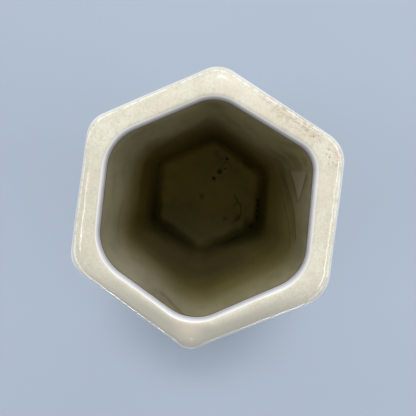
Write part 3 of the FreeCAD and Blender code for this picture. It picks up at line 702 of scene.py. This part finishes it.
def rim_color(paint, reach, depth):
    """Cream glaze, mottled and worn, with painted shade towards -Y and towards 215 degrees, a
    painted paler band and a white painted highlight along its outer edge, a white painted
    highlight then a lilac grey painted reflection over the lip, and a bluish white painted
    reflection at its widest edge.
    """
    cloud = paint.step(paint.noise(50 * MM, 3), 0.3, 0.7)
    color = paint.mix(cloud, rgb(0.80, 0.782, 0.655), rgb(0.74, 0.706, 0.585))
    mottle = paint.step(paint.noise(9 * MM, 5, 0.65), 0.42, 0.70)
    color = paint.mix(paint.times(mottle, 0.45), color, rgb(0.575, 0.545, 0.41))
    fine = paint.step(paint.noise(1.6 * MM, 4, 0.7, shift=(0.1, 0.1, 0.5)), 0.40, 0.70)
    color = paint.mix(paint.times(fine, 0.42), color, rgb(0.50, 0.465, 0.355))
    blush = paint.step(paint.noise(14 * MM, 5, 0.65, shift=(0.21, 0.4, 0.1)), 0.48, 0.70)
    color = paint.mix(paint.times(blush, 0.45), color, rgb(0.72, 0.62, 0.52))

    specks = paint.dots(11 * MM, 0.42 * MM, 0.35)
    color = paint.mix(paint.times(specks, 0.6), color, rgb(0.25, 0.18, 0.11))

    # Painted shade: the outer part of the rim towards -Y is darkened, standing in for the shade
    # where it slopes away from the light.
    outer = paint.greatest(
        [paint.step(reach, 59 * MM, 68 * MM), paint.toward(272, 63 * MM, 71 * MM)]
    )
    lower_side_shade = paint.times(paint.toward(272, 25 * MM, 66 * MM), outer)
    color = paint.mix(paint.times(lower_side_shade, 0.95), color, rgb(0.41, 0.395, 0.335))

    # Painted shade: the rim is darkened towards 215 degrees.
    left_side_shade = paint.toward(215, 10 * MM, 60 * MM)
    color = paint.mix(paint.times(left_side_shade, 0.16), color, rgb(0.50, 0.48, 0.39))

    wear = paint.spots(WORN_PLACES)
    grime = paint.step(paint.noise(3.5 * MM, 5, 0.7), 0.44, 0.64)
    grit = paint.step(paint.noise(1.3 * MM, 3, 0.7, shift=(0.3, 0.1, 0.2)), 0.58, 0.66)
    green = paint.times(paint.step(reach, 66 * MM, 72 * MM), wear)
    color = paint.mix(paint.times(wear, 0.55), color, rgb(0.66, 0.57, 0.44))
    color = paint.mix(paint.times(wear, grime, 0.65), color, rgb(0.48, 0.39, 0.28))
    color = paint.mix(paint.times(green, grime, 0.6), color, rgb(0.50, 0.50, 0.36))
    color = paint.mix(paint.times(wear, grit, 0.8), color, rgb(0.24, 0.22, 0.12))

    corner = paint.near(BROWN_CORNER)
    color = paint.mix(paint.times(corner, 0.75), color, rgb(0.66, 0.46, 0.36))
    gritty = paint.spots(GRITTY_PLACES)
    color = paint.mix(paint.times(gritty, grit, 0.9), color, rgb(0.30, 0.24, 0.15))
    pink = paint.spots(PINK_PLACES)
    color = paint.mix(paint.times(pink, 0.4), color, rgb(0.80, 0.68, 0.56))

    # The rim outside that painted shade.
    unshaded = paint.math("SUBTRACT", 1.0, lower_side_shade)
    beyond = paint.times(paint.step(reach, 67 * MM, 69.5 * MM), unshaded)
    # Painted light: a paler band round the rounded outer edge, standing in for the light that it
    # catches.
    outer_band_light = paint.times(beyond, paint.band(depth, 2.3 * MM, 3.0 * MM, 5 * MM, 9 * MM))
    color = paint.mix(paint.times(outer_band_light, 0.5), color, rgb(0.86, 0.86, 0.80))
    # Painted highlight: a broken white line where the top of the rim turns down into its rounded
    # outer edge.
    bevel_highlight = paint.times(beyond, paint.band(depth, 1.3 * MM, 1.6 * MM, 2.0 * MM, 2.3 * MM))
    unbroken = paint.step(paint.noise(4 * MM, 5, 0.75, shift=(0.4, 0.3, 0.9)), 0.42, 0.56)
    color = paint.mix(paint.times(bevel_highlight, unbroken, 0.75), color, rgb(0.95, 0.95, 0.92))
    color = paint.mix(paint.spots(RIM_CHIPS), color, rgb(0.14, 0.11, 0.07))

    inner = paint.step(reach, 68 * MM, 66 * MM)
    # Painted highlight: a white line along the top of the lip's rounding.
    lip_highlight = paint.times(inner, paint.step(depth, 0.45 * MM, 0.75 * MM))
    color = paint.mix(paint.times(lip_highlight, 0.9), color, rgb(0.93, 0.925, 0.90))
    # Painted reflection: a lilac grey band just inside the lip, standing in for the bluish
    # surroundings that it reflects.
    lilac = paint.times(inner, paint.step(depth, 0.9 * MM, 1.5 * MM))
    color = paint.mix(paint.times(lilac, 0.85), color, rgb(0.77, 0.77, 0.85))
    # Painted reflection: a bluish white line round the rim's widest edge, standing in for the pale
    # floor that it reflects.
    edge_reflection = paint.times(
        paint.step(reach, 71 * MM, 73 * MM),
        paint.band(depth, 2.6 * MM, 3.3 * MM, 4.6 * MM, 6.2 * MM),
    )
    return paint.mix(paint.times(edge_reflection, 0.75), color, rgb(0.86, 0.885, 0.96))


def stain_shades(paint, height, depth):
    """Olive-brown stain of the cavity, darker with depth partly as painted shade, with painted
    shade towards -Y and at the wall's foot, and painted light on the walls towards 75, 165 and 183
    degrees.
    """
    # Partly a stain and partly painted shade: the colour darkens with depth, and from higher up
    # the wall towards -Y.
    streaks = paint.noise(22 * MM, 5, stretch=(1, 1, 0.22))
    lean = paint.times(paint.step(depth, 15 * MM, 60 * MM), paint.along(LOW_SIDE_DARKENING_TILT))
    wavy = paint.math("ADD", depth, paint.swing(streaks, 26 * MM))
    share = paint.math("DIVIDE", paint.math("ADD", wavy, lean), RIM_TOP - CAVITY_FLOOR)
    color = paint.ramp(
        share,
        [
            (0.0, rgb(0.400, 0.366, 0.235)),
            (0.10, rgb(0.310, 0.278, 0.160)),
            (0.28, rgb(0.232, 0.196, 0.080)),
            (0.55, rgb(0.190, 0.152, 0.041)),
            (0.85, rgb(0.225, 0.176, 0.036)),
            (1.0, rgb(0.230, 0.180, 0.038)),
        ],
    )

    upper_wall = paint.step(depth, 85 * MM, 25 * MM)
    # Painted light: the upper wall towards 183 degrees is paler.
    left_wall_light = paint.times(paint.toward(183, 20 * MM, 56 * MM), upper_wall)
    color = paint.mix(paint.times(left_wall_light, 0.42), color, rgb(0.50, 0.465, 0.31))
    # Painted light: the upper wall towards 75 degrees is paler.
    upper_right_wall_light = paint.times(paint.toward(75, 25 * MM, 58 * MM), upper_wall)
    color = paint.mix(paint.times(upper_right_wall_light, 0.24), color, rgb(0.49, 0.43, 0.19))

    on_floor = paint.step(height, CAVITY_FLOOR + 6 * MM, CAVITY_FLOOR + 1 * MM)
    color = paint.mix(on_floor, color, rgb(0.315, 0.253, 0.057))
    lower_wall = paint.step(depth, 70 * MM, 120 * MM)
    # Painted light: the lower wall towards 165 degrees is paler.
    left_foot_light = paint.times(paint.toward(165, 20 * MM, 56 * MM), lower_wall)
    color = paint.mix(paint.times(left_foot_light, 0.5), color, rgb(0.40, 0.32, 0.07))

    # Painted shade: the cavity's wall towards -Y is darkened below the lip, where the key light
    # falls on it.
    bottom_wall_shade = paint.step(paint.coordinates()[1], 0, -52 * MM)
    bottom_wall_shade = paint.times(bottom_wall_shade, paint.step(depth, 14 * MM, 85 * MM))
    color = paint.mix(paint.times(bottom_wall_shade, 0.87), color, rgb(0.082, 0.068, 0.030))
    # Painted shade: a dark band round the foot of the cavity wall, strongest towards -Y, where the
    # corner falls in shade.
    foot = paint.math("ADD", height, paint.swing(paint.noise(18 * MM, 3), 10 * MM))
    wall_foot_shade = paint.band(foot, *(CAVITY_FLOOR + rise * MM for rise in (0.5, 5, 22, 72)))
    low_side = paint.step(paint.coordinates()[1], 40 * MM, -40 * MM)
    wall_foot_shade = paint.times(wall_foot_shade, paint.blend(low_side, 0.10, 0.84))
    color = paint.mix(wall_foot_shade, color, rgb(0.058, 0.050, 0.015))

    blotch = paint.step(paint.noise(20 * MM, 6, 0.6, shift=(0.1, 0.2, 0)), 0.48, 0.70)
    color = paint.mix(paint.times(blotch, 0.25), color, rgb(0.10, 0.08, 0.02))
    moss = paint.step(paint.noise(30 * MM, 3, shift=(0.6, 0.1, 0.3)), 0.45, 0.70)
    return paint.mix(paint.times(moss, 0.2), color, rgb(0.16, 0.15, 0.055))


def stain_marks(paint, color):
    """A colour with the cavity's smudges, specks, damp patches, runs and cracks over it."""
    smudges = paint.spots(SMUDGES)
    ragged = paint.step(paint.noise(8 * MM, 4), 0.35, 0.65)
    color = paint.mix(paint.times(smudges, ragged, 0.6), color, rgb(0.06, 0.05, 0.014))
    wander = paint.swing(paint.noise(3.5 * MM, 4, 0.7, shift=(0.2, 0.5, 0.4)), 5 * MM)
    faint_specks = paint.blots(FAINT_SPECKS, wander)
    color = paint.mix(paint.times(faint_specks, 0.5), color, rgb(0.06, 0.045, 0.012))
    specks = paint.blots(DARK_SPECKS, wander)
    color = paint.mix(paint.times(specks, 0.82), color, rgb(0.018, 0.016, 0.006))

    damp = paint.spots(DAMP_PATCHES)
    color = paint.mix(paint.times(damp, 0.5), color, rgb(0.125, 0.12, 0.035))
    haze = paint.near(HAZE)
    color = paint.mix(paint.times(haze, 0.37), color, rgb(0.325, 0.305, 0.25))
    streaky = paint.step(paint.noise(5 * MM, 3, stretch=(1, 1, 0.2)), 0.3, 0.7)
    lens = paint.times(paint.panel(LENS_SIDE, LENS, 2.2), paint.blend(streaky, 0.25, 0.6))
    color = paint.mix(lens, color, rgb(0.19, 0.18, 0.115))
    tear = paint.panel(TEAR_SIDE, TEAR, 1.4)
    color = paint.mix(paint.times(tear, 0.6), color, rgb(0.45, 0.385, 0.27))

    broad = paint.times(paint.lines(BROAD_LINES), 0.33)
    color = paint.mix(broad, color, rgb(0.10, 0.088, 0.035))
    faint = paint.times(paint.lines(FAINT_LINES), 0.45)
    color = paint.mix(faint, color, rgb(0.09, 0.075, 0.025))
    sharp = paint.times(paint.lines(SHARP_LINES), 0.55)
    return paint.mix(sharp, color, rgb(0.06, 0.045, 0.015))


def stain_color(paint, height, depth):
    """The whole colour of the cavity, with a dark tide line where the stain begins."""
    color = stain_marks(paint, stain_shades(paint, height, depth))
    tide = paint.step(depth, LIP_ROUND + 4.0 * MM, LIP_ROUND + 2.4 * MM)
    return paint.mix(paint.times(tide, 0.65), color, rgb(0.13, 0.113, 0.05))


def glaze_material():
    """Cream glaze outside and on the rim, stained and darkened with painted shade inside, with a
    bare foot below it.
    """
    paint = Paint("cream_glaze")
    height = paint.coordinates()[2]
    depth = paint.math("SUBTRACT", RIM_TOP, height)
    reach = paint.hexagonal_reach()

    edge = paint.math("ADD", depth, paint.swing(paint.noise(12 * MM, 3), 1.0 * MM))
    inside = paint.times(
        paint.step(reach, 68 * MM, 66 * MM),
        paint.step(edge, LIP_ROUND + 1.7 * MM, LIP_ROUND + 2.3 * MM),
        paint.step(height, CAVITY_FLOOR - 4 * MM, CAVITY_FLOOR - 2 * MM),
    )
    color = paint.mix(inside, rim_color(paint, reach, depth), stain_color(paint, height, depth))

    glaze_end = paint.math("ADD", height, paint.swing(paint.noise(30 * MM, 3), 12 * MM))
    bare = paint.times(
        paint.step(glaze_end, LINER_FOOT + 22 * MM, LINER_FOOT + 21 * MM),
        paint.math("SUBTRACT", 1.0, inside),
    )
    clay = paint.mix(paint.noise(4 * MM, 5, 0.7), rgb(0.56, 0.44, 0.32), rgb(0.42, 0.32, 0.22))
    color = paint.mix(bare, color, clay)

    normal = paint.bump(paint.noise(4 * MM, 2), 0.05 * MM)
    normal = paint.bump(paint.noise(18 * MM, 2, shift=(0.3, 0.1, 0.2)), 0.6 * MM, below=normal)
    pits = paint.dots(20 * MM, 0.5 * MM, 0.3, shift=(0.011, 0.007, 0.002))
    normal = paint.bump(paint.math("SUBTRACT", 1.0, pits), 0.3 * MM, below=normal)
    normal = paint.bump(paint.lines(RIDGES), 0.25 * MM, below=normal)
    satin = paint.math("ADD", paint.times(paint.noise(12 * MM, 4), 0.12), 0.44)
    gloss = paint.math("ADD", paint.times(paint.noise(10 * MM, 4), 0.10), 0.07)
    rubbed = paint.step(reach, 70.5 * MM, 68 * MM)
    dull = paint.greatest([inside, bare, rubbed])
    return paint.finish(color, paint.blend(dull, gloss, satin), normal)


# ---------------------------------------------------------------------------------------------
# Other materials
# ---------------------------------------------------------------------------------------------
def enamel_material():
    """Ivory stove enamel on sheet steel: slight orange peel, scuffs, and chips to the primer."""
    paint = Paint("ivory_enamel")
    color = paint.mix(paint.noise(60 * MM, 3), rgb(0.74, 0.705, 0.585), rgb(0.66, 0.625, 0.50))
    dirt = paint.step(paint.noise(20 * MM, 6, 0.65), 0.5, 0.8)
    color = paint.mix(paint.times(dirt, 0.35), color, rgb(0.46, 0.41, 0.31))
    runs = paint.step(paint.noise(12 * MM, 4, stretch=(1, 1, 0.12)), 0.58, 0.75)
    color = paint.mix(paint.times(runs, 0.3), color, rgb(0.50, 0.44, 0.33))
    chips = paint.step(paint.noise(6 * MM, 5, 0.6, shift=(0.5, 0.2, 0.1)), 0.71, 0.72)
    color = paint.mix(chips, color, rgb(0.17, 0.14, 0.12))
    normal = paint.bump(paint.noise(1.8 * MM, 2), 0.04 * MM)
    normal = paint.bump(paint.math("SUBTRACT", 1.0, chips), 0.15 * MM, below=normal)
    rough = paint.math("ADD", paint.times(dirt, 0.25), 0.24)
    return paint.finish(color, rough, normal)


def steel_material(name, tint, size):
    """Zinc-plated steel with a faint spangle."""
    paint = Paint(name)
    spangle = paint.noise(size, 3)
    color = paint.mix(spangle, rgb(*tint), rgb(*(value * 0.72 for value in tint)))
    normal = paint.bump(paint.noise(size * 0.3, 3), 0.03 * MM)
    rough = paint.math("ADD", paint.times(spangle, 0.25), 0.26)
    return paint.finish(color, rough, normal, Metallic=1.0)


def alloy_material():
    """Turned aluminium with fine rings round the axis."""
    paint = Paint("turned_alloy")
    flat = paint.vector("MULTIPLY", paint.place, (1, 1, 0))
    radius = paint.vector("LENGTH", flat, output=1)
    joined = paint.node("ShaderNodeCombineXYZ")
    paint.feed(joined.inputs[0], radius)
    paint.feed(joined.inputs[2], paint.coordinates()[2])
    lines = paint.node("ShaderNodeTexNoise")
    paint.feed(lines.inputs["Vector"], joined.outputs[0])
    lines.inputs["Scale"].default_value = 1600
    dull = paint.noise(20 * MM, 5, 0.6)
    color = paint.mix(dull, rgb(0.70, 0.71, 0.72), rgb(0.52, 0.52, 0.52))
    normal = paint.bump(lines.outputs["Fac"], 0.05 * MM)
    rough = paint.math("ADD", paint.times(dull, 0.25), 0.27)
    return paint.finish(color, rough, normal, Metallic=1.0)


def rubber_material(name, shade, dusty):
    """Black rubber, a little dusty."""
    paint = Paint(name)
    dust = paint.step(paint.noise(12 * MM, 6, 0.65), 0.42, 0.75)
    color = paint.mix(
        paint.times(dust, dusty), rgb(shade, shade, shade * 0.97), rgb(0.20, 0.19, 0.17)
    )
    normal = paint.bump(paint.noise(1.2 * MM, 4, 0.7), 0.08 * MM)
    rough = paint.math("ADD", paint.times(dust, 0.2), 0.55)
    return paint.finish(color, rough, normal)


def plastic_material():
    """Natural white slippery plastic, scored by running on its stop."""
    paint = Paint("slip_plastic")
    scores = paint.step(paint.noise(2 * MM, 4, 0.7), 0.5, 0.7)
    color = paint.mix(paint.times(scores, 0.4), rgb(0.78, 0.77, 0.72), rgb(0.5, 0.49, 0.45))
    normal = paint.bump(paint.noise(1.5 * MM, 3), 0.05 * MM)
    return paint.finish(color, paint.math("ADD", paint.times(scores, 0.2), 0.35), normal)


def floor_material():
    paint = Paint("studio_floor")
    color = paint.mix(paint.noise(500 * MM, 2), rgb(0.430, 0.503, 0.610), rgb(0.434, 0.507, 0.614))
    return paint.finish(color, 0.9, Specular_IOR_Level=0.1)


# ---------------------------------------------------------------------------------------------
# The whole object
# ---------------------------------------------------------------------------------------------
RING_EDGE = 0.3 * MM
WELD_REACH = 0.005 * MM
SHARP_ANGLE = math.radians(40)


def dress(node, material, edge=0.0):
    """Give a CAD node a material and, if asked, edges rounded by a radius."""
    node.data.materials.clear()
    node.data.materials.append(material)
    if edge:
        join = node.modifiers.new("join", "WELD")
        join.merge_threshold = WELD_REACH
        rounding = node.modifiers.new("edges", "BEVEL")
        rounding.width = edge
        rounding.segments = 2
        rounding.limit_method = "ANGLE"
        rounding.angle_limit = SHARP_ANGLE
        rounding.harden_normals = True


rubber = rubber_material("tyre_rubber", 0.03, 0.45)
# The material and edge radius of each material slot whose nodes keep their CAD shape.
SLOT_LOOKS = {
    "enamel": (enamel_material(), 0.0),
    "rivet_steel": (steel_material("rivet_zinc", (0.62, 0.62, 0.61), 3 * MM), 0.0),
    "clip_steel": (steel_material("clip_zinc", (0.58, 0.59, 0.60), 6 * MM), 0.0),
    "ring_alloy": (alloy_material(), RING_EDGE),
    "pad_rubber": (rubber_material("pad_rubber", 0.07, 0.3), 0.0),
    "slip_plastic": (plastic_material(), 0.0),
}
for subpart in frame["record"]["subparts"]:
    if subpart["material_slot"] in SLOT_LOOKS:
        dress(frame["nodes"][subpart["node"]], *SLOT_LOOKS[subpart["material_slot"]])

liner = build_liner()
glaze = glaze_material()
stained_shaded_glaze = glaze.copy()
stained_shaded_glaze.name = "stained_shaded_glaze"
stained_shader = stained_shaded_glaze.node_tree.nodes["Principled BSDF"]
stained_shader.inputs["Specular IOR Level"].default_value = STAINED_SPECULAR
liner.data.materials.append(glaze)
liner.data.materials.append(stained_shaded_glaze)
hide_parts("liner")
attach(liner, LINER_BODY)

for tyre_name, tyre_node in TYRES.items():
    build_tyre(tyre_name, tyre_node).data.materials.append(rubber)


# ---------------------------------------------------------------------------------------------
# Studio
# ---------------------------------------------------------------------------------------------
# The camera hangs a hand's breadth over the mouth. Angles are in degrees, its lens in
# millimetres.
CAMERA_PLACE = Vector((2.7, 16.4, 395)) * MM
CAMERA_AIM = Vector((0.9, 1.9, 207)) * MM
VIEW_ROLL = 6.46
CAMERA_LENS = 28.36
SENSOR_WIDTH = 36
NEAREST_SEEN = 10 * MM

FLOOR_HALF_SIDE = 12.0
FLOOR_GAP = 0.2 * MM

KEY_AZIMUTH = 90
SKY_TINT = (0.97, 0.985, 1.0, 1)
SKY_STRENGTH = 0.30
SKY_SLOPE = 0.8
SKY_RISE = 40
SKY_LEAST = 0.2

WARM = (1.0, 0.99, 0.97)
WHITE = (1.0, 1.0, 1.0)
COOL = (0.80, 0.88, 1.0)
OPEN = 180
NARROW = 30
# Name, azimuth, elevation, distance in metres, (width, height) in metres, watts, colour, and how
# widely the light spreads. The key lights cast the shadow, the low fills skim the rim's outer
# edge, and the strips draw thin lines of light along the rim.
LIGHTS = (
    ("key", KEY_AZIMUTH, 63, 5.0, (2.8, 0.6), 54, WARM, OPEN),
    ("low_key", KEY_AZIMUTH, 54, 5.0, (1.8, 0.6), 80, WARM, OPEN),
    ("front_fill", 255, 42, 4.0, (2.0, 1.2), 4, WHITE, OPEN),
    ("low_left_fill", 240, -3, 2.0, (1.6, 0.11), 0.48, COOL, NARROW),
    ("low_right_fill", 300, -3, 2.0, (1.6, 0.11), 0.48, COOL, NARROW),
    ("right_strip", 354, 36, 2.0, (1.5, 0.16), 6.0, WHITE, OPEN),
    ("left_strip", 192, 47, 2.0, (0.9, 0.17), 4.2, WHITE, OPEN),
    ("upper_left_strip", 122, 34, 2.0, (1.0, 0.10), 1.8, WHITE, OPEN),
    ("upper_right_strip", 66, 34, 2.0, (1.0, 0.10), 1.8, WHITE, OPEN),
)


def aim(piece, place, target, up):
    """Put a camera or light at place, looking at target with up upwards in its picture."""
    forward = (target - place).normalized()
    right = forward.cross(up).normalized()
    turn = Matrix((right, right.cross(forward), -forward)).transposed()
    piece.matrix_world = Matrix.Translation(place) @ turn.to_4x4()


def add_camera():
    roll = math.radians(VIEW_ROLL)
    data = bpy.data.cameras.new("camera")
    data.lens = CAMERA_LENS
    data.sensor_width = SENSOR_WIDTH
    data.clip_start = NEAREST_SEEN
    camera = bpy.data.objects.new("camera", data)
    bpy.context.scene.collection.objects.link(camera)
    aim(camera, CAMERA_PLACE, CAMERA_AIM, Vector((-math.sin(roll), math.cos(roll), 0)))
    bpy.context.scene.camera = camera


def add_light(name, azimuth, elevation, distance, size, power, tint, spread):
    """A soft box that faces the mouth."""
    rise = math.radians(elevation)
    target = Vector((0, 0, RIM_TOP))
    way = heading(azimuth) * math.cos(rise) + Vector((0, 0, math.sin(rise)))
    data = bpy.data.lights.new(name, "AREA")
    data.shape = "RECTANGLE"
    data.size, data.size_y = size
    data.energy = power
    data.color = tint
    data.spread = math.radians(spread)
    light = bpy.data.objects.new(name, data)
    bpy.context.scene.collection.objects.link(light)
    aim(light, target + way * distance, target, Vector((0.01, 0.02, 1)))


def add_floor():
    side = FLOOR_HALF_SIDE
    corners = [(-side, -side, 0), (side, -side, 0), (side, side, 0), (-side, side, 0)]
    mesh = bpy.data.meshes.new("studio_floor")
    mesh.from_pydata(corners, [], [(0, 1, 2, 3)])
    floor = bpy.data.objects.new("studio_floor", mesh)
    bpy.context.scene.collection.objects.link(floor)
    floor.location.z = cad_box[0][2] - FLOOR_GAP
    mesh.materials.append(floor_material())


def add_world():
    """A soft dome, brightest high on the key light's side and dim low on the other."""
    world = bpy.data.worlds.new("studio")
    world.use_nodes = True
    tree = world.node_tree
    background = tree.nodes["Background"]
    background.inputs["Color"].default_value = SKY_TINT
    way = tree.nodes.new("ShaderNodeTexCoord").outputs["Generated"]
    facing = tree.nodes.new("ShaderNodeVectorMath")
    facing.operation = "DOT_PRODUCT"
    rise = math.radians(SKY_RISE)
    lobe = heading(KEY_AZIMUTH) * math.cos(rise) + Vector((0, 0, math.sin(rise)))
    facing.inputs[1].default_value = lobe
    tree.links.new(way, facing.inputs[0])
    level = tree.nodes.new("ShaderNodeMath")
    level.operation = "MULTIPLY_ADD"
    level.inputs[1].default_value = SKY_STRENGTH * SKY_SLOPE
    level.inputs[2].default_value = SKY_STRENGTH
    tree.links.new(facing.outputs["Value"], level.inputs[0])
    least = tree.nodes.new("ShaderNodeMath")
    least.operation = "MAXIMUM"
    least.inputs[1].default_value = SKY_LEAST
    tree.links.new(level.outputs[0], least.inputs[0])
    tree.links.new(least.outputs[0], background.inputs["Strength"])
    bpy.context.scene.world = world


add_camera()
add_floor()
add_world()
for light_row in LIGHTS:
    add_light(*light_row)
bpy.context.scene.view_settings.view_transform = "Standard"
